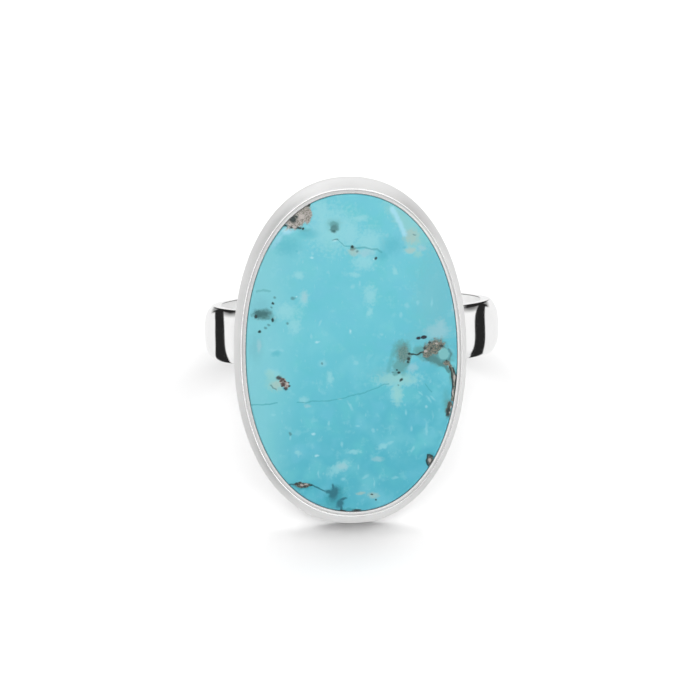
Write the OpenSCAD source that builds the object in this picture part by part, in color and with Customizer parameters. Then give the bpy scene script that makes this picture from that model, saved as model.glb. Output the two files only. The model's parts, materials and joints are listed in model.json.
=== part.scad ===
// Adjustable finger ring: an open polished band carrying a large oval stone in a plain bezel.
// The ring lies on its side as it would on a table, on the lower end of its bezel and the back
// of its band. It is modelled first in its own frame, with the finger hole along Z and the
// stone facing -Y, and then tilted back and set down. All sizes are in millimetres.

/* [Band] */
// Inner diameter of the finger hole
finger_d = 17.5; // [15:0.5:21]
// Width of the band along the finger
band_w = 3.6; // [3:0.1:5]
// Thickness of the band at its crown
band_t = 1.2; // [1:0.05:1.8]
// Thickness of the band at its two rims
rim_t = 0.66; // [0.5:0.02:0.9]
// Flatness of the band's crown, where 2 is a plain dome and more is flatter
crown_power = 3.5; // [2:0.25:5]
// Opening between the two ends of the band at the back
gap_w = 3.2; // [2:0.2:6]
// Height of the band's middle above the middle of the stone
band_rise = 0.7; // [0:0.1:2]

/* [Bezel] */
// Length of the bezel's base outline
base_l = 22.86; // [20:0.02:26]
// Width of the bezel's base outline
base_w = 15.3; // [13:0.1:18]
// Thickness of the base plate under the stone
plate_t = 0.9; // [0.6:0.05:1.2]
// Clearance between the finger hole and the base plate
plate_clear = 0.45; // [0.2:0.05:0.6]
// Sideways offset of the bezel on the band
head_shift = -0.55; // [-1:0.05:1]
// Turn of the bezel on the band, in degrees
head_turn = 1; // [-3:0.5:3]

/* [Stone] */
// Rise of the stone's face from its edge to its middle
dome_rise = 0.3; // [0.1:0.05:0.6]
// Gap between the stone and the metal round it
stone_gap = 0.04; // [0.02:0.01:0.06]

/* [Hidden] */
$fn = 96;

// The band, its inner corners broken and its crown a curve of short straight steps
bore_r = finger_d / 2;
crown_r = bore_r + band_t;
half_w = band_w / 2;
rim_break = 0.06;
crown_steps = 10;

// The band's ends, each rounded by an upright cylinder a little wider than the band
end_r = half_w + 0.05;
end_turn = asin((gap_w / 2 + end_r) / crown_r);
end_spare = 0.4;

// The oval outline: a circle across the ring, drawn out along the finger
half_l = base_l / 2;
half_b = base_w / 2;
draw_out = base_l / base_w;

// The bezel's section as [inset, height]: insets run inwards from the base outline, measured
// across the ring, and heights stand on the back of the base plate
plate_y = -(bore_r + plate_clear);
base_break = 0.12;
base_upright = 0.55;
bend = [0.46, 2.2];
lip_tip = [0.6, 2.7];
lip_inner = [0.72, 2.66];
seat_inset = 0.6;
seat_h = 1.9;

// The stone's lower corner and its dome, which ends in a small flat in the middle
stone_break = 0.15;
dome_flat_r = 1;
dome_steps = 5;

// How far the crown has fallen away at height z of the band's section
function crown_fall(z) = (band_t - rim_t) * pow(abs(z) / half_w, crown_power);

// The band's outer edge near one end, at sideways distance u from the axis of the end's
// rounding, as [y, z] in the ring's own frame. side is -1 for the lower edge and 1 for the upper
function edge_z(u) = u > 0 ? min(half_w, sqrt(max(0, end_r * end_r - u * u))) : half_w;
function edge_r(u) = crown_r - crown_fall(edge_z(u));
function edge_point(u, side) = [
    sqrt(pow(edge_r(u), 2) - u * u) * cos(end_turn) + u * sin(end_turn),
    side * edge_z(u) + band_rise
];

// Where the ring stands: the bezel's lower back edge in front, the band's lower edge behind
foot = [plate_y - base_break, -half_l];
edge_run = [for (u = [-3:0.04:end_r]) u];
rest_tilt = min([for (u = edge_run) atan2(edge_point(u, -1).y - foot.y, edge_point(u, -1).x - foot.x)]);
lift = foot.x * sin(rest_tilt) - foot.y * cos(rest_tilt);

// How far the tilted ring reaches to the back and to the front
function tilted_y(p) = p.x * cos(rest_tilt) + p.y * sin(rest_tilt);
back_reach = max([for (u = edge_run) tilted_y(edge_point(u, 1))]);
front_reach = tilted_y([plate_y - lip_tip.y, draw_out * lip_tip.x - half_l]);

// The band's section at the distance of its radius from the finger's axis
module band_section() {
    crown = [for (i = [-crown_steps:crown_steps]) let (z = half_w * i / crown_steps) [crown_r - crown_fall(z), z]];
    polygon(concat(
        [[bore_r, -half_w + rim_break], [bore_r + rim_break, -half_w]],
        crown,
        [[bore_r + rim_break, half_w], [bore_r, half_w - rim_break]]
    ));
}

// What is cut off past one end of the band to leave the end round
module end_cutter() {
    difference() {
        translate([bore_r - 1, 0, -band_w])
            cube([band_t + 2, 2 * end_r, 2 * band_w]);
        translate([bore_r - 2, 0, 0])
            rotate([0, 90, 0])
                cylinder(r = end_r, h = band_t + 4);
    }
}

// The open band, with its opening at the back
module band() {
    sweep_turn = end_turn - asin((end_r + end_spare) / crown_r);
    difference() {
        rotate_extrude(angle = 360 - 2 * sweep_turn, start = 90 + sweep_turn)
            band_section();
        for (side = [0, 1])
            mirror([side, 0, 0])
                rotate([0, 0, 90 - end_turn])
                    end_cutter();
    }
}

// A section of [inset, height] points carried round the oval by quarter turns, and closed
// across its middle
module round_oval(section) {
    foot_h = section[0].y;
    top_h = section[len(section) - 1].y;
    scale([1, draw_out, 1])
        for (side = [0, 1], end = [0, 1])
            mirror([side, 0, 0])
                mirror([0, end, 0])
                    rotate_extrude(angle = 90)
                        polygon(concat([[0, foot_h]], [for (p = section) [half_b - p.x, p.y]], [[0, top_h]]));
}

// The base plate with the bezel wall, its lip leaning over the stone's shoulder
module bezel() {
    round_oval([
        [base_break, 0], [0, base_break], [0, base_upright], bend, lip_tip, lip_inner,
        [seat_inset, seat_h], [seat_inset, plate_t]
    ]);
}

// The stone: a flat back, an upright side, a shoulder under the lip and a low dome
module oval_stone() {
    edge = lip_inner + [stone_gap, 0];
    side = seat_inset + stone_gap;
    bed = plate_t + stone_gap;
    dome_run = half_b - dome_flat_r - edge.x;
    dome = [for (i = [0:dome_steps]) let (t = i / dome_steps)
        [edge.x + t * dome_run, edge.y + dome_rise * (1 - pow(1 - t, 2))]];
    round_oval(concat([[side + stone_break, bed], [side, bed + stone_break], [side, seat_h]], dome));
}

// From the head's own frame, outline in XY and height along Z, to the ring's frame
module on_band() {
    translate([head_shift, plate_y, 0])
        rotate([0, head_turn, 0])
            rotate([90, 0, 0])
                children();
}

// From the ring's own frame to the way it lies, its origin under the middle of its box
module laid_down() {
    translate([0, -(front_reach + back_reach) / 2, lift])
        rotate([-rest_tilt, 0, 0])
            children();
}

module band_and_bezel() {
    color("silver")
        laid_down() {
            translate([0, 0, band_rise])
                band();
            on_band()
                bezel();
        }
}

module turquoise_stone() {
    color("mediumturquoise")
        laid_down()
            on_band()
                oval_stone();
}

band_and_bezel();
turquoise_stone();
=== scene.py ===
"""Looks of the adjustable turquoise ring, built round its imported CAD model.

Every piece is worked out in the ring's own frame, in millimetres: the finger hole runs along Z,
the stone faces -Y and X runs across. RingPose tilts a piece back and sets it down as the CAD
model lies, in metres.
"""

import json
import logging
import math
from dataclasses import dataclass, field
from enum import Enum
from functools import reduce
from typing import NamedTuple

import bmesh
import bpy
import numpy as np
from mathutils import Matrix, Vector

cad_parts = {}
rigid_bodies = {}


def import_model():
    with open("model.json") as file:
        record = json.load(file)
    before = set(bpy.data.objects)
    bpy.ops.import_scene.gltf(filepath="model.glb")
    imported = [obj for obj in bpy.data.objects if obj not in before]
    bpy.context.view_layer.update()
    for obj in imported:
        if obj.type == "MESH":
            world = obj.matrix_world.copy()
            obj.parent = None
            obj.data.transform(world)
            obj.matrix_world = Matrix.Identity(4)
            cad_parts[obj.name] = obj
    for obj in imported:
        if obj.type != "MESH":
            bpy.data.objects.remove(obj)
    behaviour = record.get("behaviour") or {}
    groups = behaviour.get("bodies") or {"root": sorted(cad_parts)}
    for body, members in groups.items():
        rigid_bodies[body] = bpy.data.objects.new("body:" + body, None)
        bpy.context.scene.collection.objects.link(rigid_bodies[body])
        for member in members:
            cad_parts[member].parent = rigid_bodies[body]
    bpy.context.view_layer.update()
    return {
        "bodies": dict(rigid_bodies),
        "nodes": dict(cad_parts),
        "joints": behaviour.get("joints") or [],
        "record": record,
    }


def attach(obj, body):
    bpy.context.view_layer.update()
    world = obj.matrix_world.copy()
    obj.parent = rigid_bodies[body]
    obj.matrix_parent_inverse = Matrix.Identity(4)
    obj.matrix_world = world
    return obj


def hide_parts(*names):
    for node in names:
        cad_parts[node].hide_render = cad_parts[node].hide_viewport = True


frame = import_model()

LOG = logging.getLogger("ring")

# Lengths in metres: a millimetre, points that are one point, and edges that are dropped
MM = 0.001
WELD = 2e-7
SLIVER = 1e-8

Vec3 = tuple[float, float, float]
Colour = tuple[float, float, float]
Span = tuple[float, float]
Socket = bpy.types.NodeSocket


class Slot(Enum):
    """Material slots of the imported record."""

    SILVER = "polished_silver"
    TURQUOISE = "turquoise"


@dataclass(frozen=True)
class RingPose:
    """How the ring lies: tilted back about X, then moved back and up, as in the CAD model."""

    tilt_deg: float = 29.449
    back: float = 3.1223
    lift: float = 5.3708

    def turn(self, v: np.ndarray) -> np.ndarray:
        """Turns directions from the ring's frame into the row frame.

        Args:
            v: Directions, the last axis holding x, y, z.

        Returns:
            The same directions, y' = y cos t + z sin t and z' = z cos t - y sin t.
        """
        v = np.asarray(v, float)
        c, s = math.cos(math.radians(self.tilt_deg)), math.sin(math.radians(self.tilt_deg))
        return np.stack([v[..., 0], v[..., 1] * c + v[..., 2] * s, v[..., 2] * c - v[..., 1] * s], -1)

    def place(self, p: np.ndarray) -> np.ndarray:
        """Puts points of the ring's frame where they lie.

        Args:
            p: Points in millimetres, the last axis holding x, y, z.

        Returns:
            The points in the row frame, in metres.
        """
        return (self.turn(p) + np.array([0.0, self.back, self.lift])) * MM

    def back_to_ring(self, p: np.ndarray) -> np.ndarray:
        """Carries points back from where they lie to the ring's frame.

        Args:
            p: Points of the row frame, in metres.

        Returns:
            The points in the ring's frame, in millimetres: place undone.
        """
        v = np.asarray(p, float) / MM - np.array([0.0, self.back, self.lift])
        c, s = math.cos(math.radians(self.tilt_deg)), math.sin(math.radians(self.tilt_deg))
        return np.stack([v[..., 0], v[..., 1] * c - v[..., 2] * s, v[..., 2] * c + v[..., 1] * s], -1)


@dataclass(frozen=True)
class HeadPose:
    """Where the head sits on the band: its outline in X and Y, its height along -Y of the ring."""

    shift: float = -0.55
    plate_y: float = -9.2
    turn_deg: float = 1.0

    def to_ring(self, p: np.ndarray) -> np.ndarray:
        """Carries points of the head's own frame to the ring's frame.

        Args:
            p: Points in millimetres, the last axis holding across, along and height.

        Returns:
            The points turned by the head's small turn about Y and moved onto the band.
        """
        c, s = math.cos(math.radians(self.turn_deg)), math.sin(math.radians(self.turn_deg))
        across, along, height = p[..., 0], p[..., 1], p[..., 2]
        return np.stack([across * c + along * s + self.shift, self.plate_y - height,
                         along * c - across * s], -1)

    def on_face(self, p: np.ndarray) -> np.ndarray:
        """Finds where points lie on the head's outline plane.

        Args:
            p: Points of the ring's frame, the last axis holding x, y, z.

        Returns:
            The places across and along, with a height of 0: to_ring undone, without the height.
        """
        c, s = math.cos(math.radians(self.turn_deg)), math.sin(math.radians(self.turn_deg))
        x, z = p[..., 0] - self.shift, p[..., 2]
        return np.stack([x * c - z * s, x * s + z * c, np.zeros_like(x)], -1)


POSE = RingPose()
HEAD = HeadPose()


@dataclass(frozen=True)
class Oval:
    """An oval outline a little fuller than an ellipse."""

    half_b: float = 7.65
    half_l: float = 11.425
    fullness: float = 2.15

    def ring(self, inset_b: np.ndarray, inset_l: np.ndarray, turns: np.ndarray) -> np.ndarray:
        """Points of ovals drawn in from this outline.

        The outline is |x/b|^n + |y/l|^n = 1: a circle's cosine and sine, each raised to 2/n.

        Args:
            inset_b: How far each oval is drawn in at its sides.
            inset_l: How far each oval is drawn in at its ends.
            turns: Angles round the oval, in radians.

        Returns:
            An array with one row for each oval and one column for each angle, holding x and y.
        """
        p = 2.0 / self.fullness
        x = np.sign(np.cos(turns)) * np.abs(np.cos(turns)) ** p
        y = np.sign(np.sin(turns)) * np.abs(np.sin(turns)) ** p
        return np.stack([np.outer(self.half_b - inset_b, x), np.outer(self.half_l - inset_l, y)], -1)


def grid_mesh(name: str, points: np.ndarray) -> bpy.types.Mesh:
    """A mesh of four-sided faces over a grid of points whose last column joins the first.

    Args:
        name: Name of the mesh.
        points: Grid of points in metres, rows by columns by three.

    Returns:
        The mesh, its coinciding points merged and its shading smooth.
    """
    rows, cols = points.shape[:2]
    r, c = np.meshgrid(np.arange(rows - 1), np.arange(cols), indexing="ij")
    nxt = (c + 1) % cols
    quads = np.stack([r * cols + c, r * cols + nxt, (r + 1) * cols + nxt, (r + 1) * cols + c], -1)
    return face_mesh(name, points.reshape(-1, 3), quads.reshape(-1, 4))


def face_mesh(name: str, points: np.ndarray, quads: np.ndarray) -> bpy.types.Mesh:
    """A mesh from points and faces, with doubles merged and faces turned outwards.

    Args:
        name: Name of the mesh.
        points: Points in metres, one row each.
        quads: Four point numbers for each face.

    Returns:
        The finished mesh.
    """
    mesh = bpy.data.meshes.new(name)
    mesh.from_pydata(points.tolist(), [], quads.tolist())
    work = bmesh.new()
    work.from_mesh(mesh)
    bmesh.ops.remove_doubles(work, verts=work.verts, dist=WELD)
    bmesh.ops.dissolve_degenerate(work, edges=work.edges, dist=SLIVER)
    bmesh.ops.recalc_face_normals(work, faces=work.faces)
    work.to_mesh(mesh)
    work.free()
    mesh.polygons.foreach_set("use_smooth", np.ones(len(mesh.polygons), bool))
    mesh.update()
    return mesh


def ring_points(mesh: bpy.types.Mesh) -> np.ndarray:
    """The points of a finished mesh.

    Args:
        mesh: A mesh that is in its place.

    Returns:
        Its points in the ring's frame, in millimetres, one row each.
    """
    co = np.zeros(len(mesh.vertices) * 3)
    mesh.vertices.foreach_get("co", co)
    return POSE.back_to_ring(co.reshape(-1, 3))


def arc(centre: Span, radius: float, start_deg: float, end_deg: float, steps: int) -> np.ndarray:
    """Points of an arc.

    Args:
        centre: Centre of the arc.
        radius: Its radius.
        start_deg: Angle of its first point.
        end_deg: Angle of its last point.
        steps: Number of points.

    Returns:
        The points as two columns.
    """
    a = np.radians(np.linspace(start_deg, end_deg, steps))
    return np.stack([centre[0] + radius * np.cos(a), centre[1] + radius * np.sin(a)], -1)


class NodeBench:
    """Makes and joins shader nodes of one tree, each made after the ones that feed it."""

    def __init__(self, tree: bpy.types.NodeTree) -> None:
        """Takes the tree to work in and empties it."""
        self.tree = tree
        tree.nodes.clear()

    def feed(self, socket: Socket, value: object) -> None:
        """Joins a socket to another one, or sets its value.

        Args:
            socket: The input.
            value: A socket, a plain value, or None to leave the input alone.
        """
        if isinstance(value, Socket):
            self.tree.links.new(value, socket)
        elif value is not None:
            socket.default_value = value

    def node(self, kind: str, inputs: dict | None = None, **settings: object) -> bpy.types.Node:
        """A new node.

        Args:
            kind: Blender's name of the node type.
            inputs: Values or sockets by the input's name or number.
            settings: The node's own settings.

        Returns:
            The node.
        """
        made = self.tree.nodes.new(kind)
        for key, value in settings.items():
            setattr(made, key, value)
        for key, value in (inputs or {}).items():
            self.feed(made.inputs[key], value)
        return made

    def math(self, operation: str, *values: object, clamp: bool = False) -> Socket:
        """The result of one sum on numbers or number sockets."""
        made = self.node("ShaderNodeMath", dict(enumerate(values)), operation=operation, use_clamp=clamp)
        return made.outputs[0]

    def vector(self, operation: str, *values: object) -> Socket:
        """The vector result of one sum on vectors."""
        return self.node("ShaderNodeVectorMath", dict(enumerate(values)), operation=operation).outputs[0]

    def dot(self, a: object, b: object) -> Socket:
        """The dot product of two vectors."""
        return self.node("ShaderNodeVectorMath", {0: a, 1: b}, operation="DOT_PRODUCT").outputs["Value"]

    def ramp(self, value: object, low: float, high: float, out_low: float = 0.0,
             out_high: float = 1.0, smooth: bool = True) -> Socket:
        """Carries a value from one range to another and stops at its ends.

        Args:
            value: Number or socket.
            low: Value that gives out_low.
            high: Value that gives out_high.
            out_low: Result at low.
            out_high: Result at high.
            smooth: Whether the change eases in and out.

        Returns:
            The result's socket.
        """
        kind = "SMOOTHSTEP" if smooth else "LINEAR"
        if low > high:
            low, high, out_low, out_high = high, low, out_high, out_low
        return self.node("ShaderNodeMapRange", {0: value, 1: low, 2: high, 3: out_low, 4: out_high},
                         interpolation_type=kind, clamp=True).outputs[0]

    def noise(self, where: object, scale: float, detail: float = 2.0, rough: float = 0.5) -> Socket:
        """A noise value from 0 to 1."""
        return self.node("ShaderNodeTexNoise", {"Vector": where, "Scale": scale, "Detail": detail,
                                                "Roughness": rough}).outputs[0]

    def mix(self, share: object, a: object, b: object) -> Socket:
        """Number a where share is 0 and number b where it is 1."""
        return self.node("ShaderNodeMix", {0: share, 2: a, 3: b}).outputs[0]

    def blend(self, share: object, a: object, b: object) -> Socket:
        """Blends two colours.

        Args:
            share: Number or socket, 0 for the first colour and 1 for the second.
            a: The first colour, three numbers or a socket.
            b: The second colour.

        Returns:
            The blended colour's socket.
        """
        made = self.node("ShaderNodeMix", data_type="RGBA")
        for key, value in ((0, share), (6, a), (7, b)):
            self.feed(made.inputs[key], (*value, 1.0) if isinstance(value, tuple) else value)
        return made.outputs[2]


@dataclass(frozen=True)
class SilverFinish:
    """Silver: its colour, its gloss, and the marks that polishing leaves.

    satin_roughness is the roughness where the mesh's satin attribute is 1. The marks are
    mark_depth millimetres deep, and a larger mark_stretch makes them shorter along that axis.
    """

    name: str
    roughness: float
    satin_roughness: float
    tint: Colour = (0.955, 0.955, 0.952)
    metallic: float = 1.0
    cloud_scale: float = 350.0
    cloud_dulling: float = 0.965
    mark_stretch: Vec3 = (60.0, 60.0, 900.0)
    mark_scale: float = 14.0
    mark_depth: float = 0.0004
    mark_strength: float = 0.25
    gloss_spread: float = 0.15

    def material(self) -> bpy.types.Material:
        """Builds the material.

        Returns:
            A metal whose colour and gloss vary a little with soft noise, and whose surface
            carries fine marks drawn out along the polishing.
        """
        made = bpy.data.materials.new(self.name)
        made.use_nodes = True
        bench = NodeBench(made.node_tree)
        where = bench.node("ShaderNodeTexCoord").outputs["Object"]
        cloud = bench.noise(where, self.cloud_scale, 3.0)
        dull = tuple(c * self.cloud_dulling for c in self.tint)
        colour = bench.blend(bench.ramp(cloud, 0.35, 0.65), dull, self.tint)
        along = bench.node("ShaderNodeMapping", {"Vector": where, "Scale": self.mark_stretch}).outputs[0]
        marks = bench.noise(along, self.mark_scale, 3.0, 0.6)
        gloss = bench.ramp(marks, 0.3, 0.7, self.roughness * (1 - self.gloss_spread),
                           self.roughness * (1 + self.gloss_spread), smooth=False)
        satin = bench.node("ShaderNodeAttribute", attribute_name="satin").outputs["Fac"]
        gloss = bench.mix(satin, gloss, self.satin_roughness)
        bump = bench.node("ShaderNodeBump", {
            "Strength": self.mark_strength, "Distance": self.mark_depth * MM, "Height": marks}).outputs[0]
        shader = bench.node("ShaderNodeBsdfPrincipled", {
            "Base Color": colour, "Metallic": self.metallic, "Roughness": gloss, "Normal": bump})
        bench.node("ShaderNodeOutputMaterial", {0: shader.outputs[0]})
        return made


@dataclass
class Band:
    """The open band: a strip with round ends, bent round the finger.

    Its inside is satin, up to satin_reach above the bore, and fades to the polish over
    satin_fade. middle_z is how far the band's middle lies above the middle of the stone. The
    place where the shoulder meets the crown is looked for in join_span, in from the edge, and
    a crown_gather above 1 draws the crown's points together beside it.
    """

    bore_r: float = 8.75
    crown_t: float = 1.198
    rim_t: float = 0.66
    half_w: float = 1.8
    crown_power: float = 3.5
    middle_z: float = 0.7
    tip_deg: float = 170.4
    inner_round: float = 0.08
    outer_round: float = 0.14
    satin_reach: float = 0.03
    satin_fade: float = 0.02
    join_span: Span = (0.02, 0.9)
    crown_gather: float = 1.15
    inside_steps: int = 7
    corner_steps: int = 6
    rim_steps: int = 3
    join_steps: int = 400
    shoulder_steps: int = 14
    crown_steps: int = 30
    run_columns: int = 321
    end_columns: int = 31
    finish: SilverFinish = field(default_factory=lambda: SilverFinish(
        "band_mirror_polish", roughness=0.06, satin_roughness=0.7))

    def crown(self, inset: np.ndarray) -> np.ndarray:
        """Radius of the crown at a distance in from the band's edge.

        The crown falls from its full height by (thickness - rim thickness) times the power
        crown_power of the distance from the middle, as a share of the half width.

        Args:
            inset: Distances in from the edge.

        Returns:
            The radii from the finger's axis.
        """
        share = np.clip((self.half_w - inset) / self.half_w, 0, 1)
        return self.bore_r + self.crown_t - (self.crown_t - self.rim_t) * share ** self.crown_power

    def section(self) -> np.ndarray:
        """Half of the band's section, from the middle of its inside to the middle of its crown.

        Returns:
            Rows of [distance in from the edge, radius]. The rim is upright, its inner corner is
            a small quarter circle, and its outer corner an arc that meets the crown's slope.
        """
        inner, outer = self.inner_round, self.outer_round
        inside_run = np.linspace(self.half_w, inner, self.inside_steps + 1)[:-1]
        inside = np.stack([inside_run, np.full(self.inside_steps, self.bore_r)], -1)
        corner = arc((inner, self.bore_r + inner), inner, 270, 180, self.corner_steps)
        joins = np.linspace(*self.join_span, self.join_steps)
        slope = np.gradient(self.crown(joins), joins)
        normal_deg = np.degrees(np.arctan2(1.0, -slope))
        gap = np.abs(joins - outer * (1 + np.cos(np.radians(normal_deg))))
        at = int(np.argmin(gap))
        drop = outer * math.sin(math.radians(normal_deg[at]))
        centre = (outer, float(self.crown(joins[at:at + 1])[0] - drop))
        shoulder = arc(centre, outer, 180, float(normal_deg[at]), self.shoulder_steps)
        rim_run = np.linspace(corner[-1, 1], shoulder[0, 1], self.rim_steps + 2)[1:-1]
        rim = np.stack([np.zeros(self.rim_steps), rim_run], -1)
        share = np.linspace(0, 1, self.crown_steps)[1:] ** self.crown_gather
        run = joins[at] + (self.half_w - joins[at]) * share
        top = np.stack([run, self.crown(run)], -1)
        return np.concatenate([inside, corner, rim, shoulder, top])

    def outline(self) -> tuple[np.ndarray, np.ndarray]:
        """The strip's outline before bending: two straight edges and two half circles.

        Returns:
            For each point of the outline, the place on the middle line that it belongs to, as an
            arc length from the front, and the direction outwards from there as two columns.
        """
        reach = math.radians(self.tip_deg) * (self.bore_r + self.crown_t) - self.half_w
        run = np.linspace(-reach, reach, self.run_columns)
        bend = np.linspace(0, math.pi, self.end_columns + 2)[1:-1]
        end = np.full(self.end_columns, reach)
        middle = np.concatenate([run, end, run[::-1], -end])
        out = np.concatenate([
            np.tile([0.0, 1.0], (len(run), 1)), np.stack([np.sin(bend), np.cos(bend)], -1),
            np.tile([0.0, -1.0], (len(run), 1)), np.stack([-np.sin(bend), -np.cos(bend)], -1)])
        return middle, out

    def surface(self) -> np.ndarray:
        """The band's surface.

        A point is given by its place on the outline and its place on the section: it lies
        inwards from the outline by the section's distance and at the section's radius, bent
        round the finger's axis.

        Returns:
            A grid of points in the ring's frame, section by outline.
        """
        section, (middle, out) = self.section(), self.outline()
        reach = self.half_w - section[:, :1]
        arc_at = (middle[None] + reach * out[None, :, 0]) / (self.bore_r + self.crown_t)
        z = reach * out[None, :, 1] + self.middle_z
        r = np.broadcast_to(section[:, 1:], arc_at.shape)
        return np.stack([r * np.sin(arc_at), -r * np.cos(arc_at), z], -1)

    def build(self) -> bpy.types.Object:
        """Builds the band and gives it its finish.

        Returns:
            The band.
        """
        mesh = grid_mesh("open_band", POSE.place(self.surface()))
        points = ring_points(mesh)
        above_bore = np.hypot(points[:, 0], points[:, 1]) - self.bore_r
        inside = np.clip((self.satin_reach - above_bore) / self.satin_fade, 0, 1)
        mesh.attributes.new("satin", "FLOAT", "POINT").data.foreach_set("value", inside)
        return finish_piece("open_band", mesh, self.finish.material(), "band_and_bezel")


@dataclass
class Bezel:
    """The bezel: a flat plate, a leaning wall and a narrow lip over the stone's edge.

    The wall is satin up to satin_top, and the facet and the lip above it are polished.
    """

    oval: Oval = field(default_factory=Oval)
    plate_t: float = 0.9
    satin_top: float = 2.335
    satin_fade: float = 0.03
    columns: int = 480
    # Its tint is darker than the band's silver: painted shade that greys the bezel's wall and lip
    finish: SilverFinish = field(default_factory=lambda: SilverFinish(
        "bezel_satin_painted_shade", roughness=0.24, satin_roughness=0.53, tint=(0.785, 0.785, 0.782),
        metallic=0.64, mark_stretch=(200.0, 200.0, 200.0)))

    def section(self) -> np.ndarray:
        """The bezel's section, from the middle of its back to the middle of its seat.

        Returns:
            Rows of [inset at the sides, inset at the ends, height], the corners rounded.
        """
        half_b, half_l = self.oval.half_b, self.oval.half_l
        corners = [
            (half_b, half_l, 0.0, 0.0),
            (0.12, 0.18, 0.0, 0.04),  # the plate's broken lower edge
            (0.0, 0.0, 0.12, 0.05),
            (0.0, 0.0, 0.5, 0.3),  # the wall starts to lean
            (0.42, 0.692, 2.34, 0.02),  # the facet that catches the bright line
            (0.472, 0.744, 2.392, 0.01),
            (0.515, 0.789, 2.3, 0.008),  # the flank inside it, which shows dark
            (0.72, 0.995, 2.43, 0.015),  # the lip's tip
            (0.745, 1.02, 2.35, 0.03),
            (0.6, 0.9, 1.9, 0.05),  # the seat under the lip
            (0.6, 0.9, self.plate_t, 0.05),
            (half_b, half_l, self.plate_t, 0.0),
        ]
        return rounded_section(np.array(corners))

    def build(self) -> bpy.types.Object:
        """Builds the bezel and gives it its finish.

        Returns:
            The bezel.
        """
        rows = self.section()
        turns = np.linspace(0, 2 * math.pi, self.columns + 1)[:-1]
        flat = self.oval.ring(rows[:, 0], rows[:, 1], turns)
        height = np.broadcast_to(rows[:, 2:3], flat.shape[:2])
        points = HEAD.to_ring(np.concatenate([flat, height[..., None]], -1))
        mesh = grid_mesh("bezel", POSE.place(points))
        above_plate = HEAD.plate_y - ring_points(mesh)[:, 1]
        wall = np.clip((self.satin_top - above_plate) / self.satin_fade, 0, 1)
        mesh.attributes.new("satin", "FLOAT", "POINT").data.foreach_set("value", wall)
        return finish_piece("bezel", mesh, self.finish.material(), "band_and_bezel")


def rounded_section(corners: np.ndarray, steps: int = 7) -> np.ndarray:
    """A section whose corners are rounded.

    Each corner is replaced by a curve that starts and ends its rounding away from it, but at most
    45% of the way to the next corner. Between these two points a and b it runs as a parabola,
    (1-t)^2 a + 2t(1-t) corner + t^2 b.

    Args:
        corners: Rows of [inset at the sides, inset at the ends, height, rounding].
        steps: Points of each curve.

    Returns:
        Rows of [inset at the sides, inset at the ends, height].
    """
    rows = [corners[0, :3]]
    t = np.linspace(0, 1, steps)[:, None]
    for before, here, after in zip(corners[:-2], corners[1:-1], corners[2:]):
        ends = []
        for other in (before, after):
            way = other[:3] - here[:3]
            ends.append(here[:3] + way * min(0.45, here[3] / np.linalg.norm(way)))
        rows.extend((1 - t) ** 2 * ends[0] + 2 * t * (1 - t) * here[:3] + t ** 2 * ends[1])
    rows.append(corners[-1, :3])
    return np.array(rows)


class Spot(NamedTuple):
    """An ellipse on the stone's face, in millimetres from the face's middle."""

    x: float
    y: float
    half_x: float
    half_y: float
    turn_deg: float = 0.0


class Line(NamedTuple):
    """A thin line through points of the stone's face, in millimetres from the face's middle."""

    half_width: float
    path: tuple[Span, ...]


@dataclass(frozen=True)
class Marking:
    """Marks of one colour on the stone's face.

    Colours are display colours from 0 to 255. soft is how far a mark fades at its edge and
    ragged how far noise moves that edge, both as shares of the mark's own size. Where grain is
    given, specks of that second colour lie in the first.
    """

    shade: Colour
    strength: float
    marks: tuple[Spot | Line, ...]
    soft: float = 0.3
    ragged: float = 0.5
    grain: Colour | None = None


PALE_CLOUDS = Marking((150, 213, 220), 0.65, soft=0.7, ragged=1.1, marks=(
    Spot(-0.05, 7.8, 0.52, 1.04), Spot(-1.95, 9.25, 0.59, 0.78), Spot(0.6, 8.8, 0.52, 0.2),
    Spot(0.85, 5.95, 0.65, 0.46), Spot(-3.45, 5.15, 0.33, 0.23), Spot(-3.1, 3.6, 0.29, 0.46),
    Spot(-4.25, 2.8, 0.72, 0.46), Spot(-3.75, 1.85, 0.33, 0.46), Spot(-5.2, -1.2, 0.39, 0.26),
    Spot(1.2, 3.8, 0.39, 0.59), Spot(1.2, 2.75, 0.16, 0.23, -30), Spot(2.85, 5.4, 0.13, 0.26, 20),
    Spot(3, -1.7, 1.37, 0.39), Spot(2.9, -2.7, 0.33, 0.65), Spot(-0.9, -7.45, 0.72, 0.29, 30),
    Spot(-3.15, -3, 0.26, 0.2), Spot(1.95, -6.1, 0.33, 0.16, 20), Spot(0.1, -6.45, 0.39, 0.13),
    Spot(-1.45, -1.55, 0.2, 0.39), Spot(0.25, 5.15, 0.33, 0.16), Spot(3.9, 6.7, 0.46, 0.2),
    Spot(-3.55, -6.45, 0.2, 0.13), Spot(-1.2, 8.1, 1.5, 1.3), Spot(1.1, 7.3, 0.9, 0.8),
))
GREY_VEIL = Marking((118, 186, 198), 0.55, soft=0.8, ragged=0.7, marks=(
    Spot(5.55, 3.7, 1.3, 3.12), Spot(-6.25, 0.45, 0.39, 0.85), Spot(4.7, 1, 0.98, 0.52),
    Spot(2.6, -1.35, 1.11, 0.46), Spot(-5.85, 3.1, 0.59, 0.52),
))
GREENISH = Marking((146, 204, 203), 0.7, soft=0.6, ragged=0.8, marks=(
    Spot(3.65, 8.4, 1.82, 0.46, -47), Spot(4.15, 7.35, 0.59, 0.52), Spot(4.35, 6.45, 0.26, 0.2),
    Spot(-5, -1.85, 0.59, 0.49), Spot(-5.3, -1.35, 0.33, 0.33), Spot(2.95, -2.6, 0.28, 0.7),
    Spot(2.9, -1.7, 1.1, 0.33),
))
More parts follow.
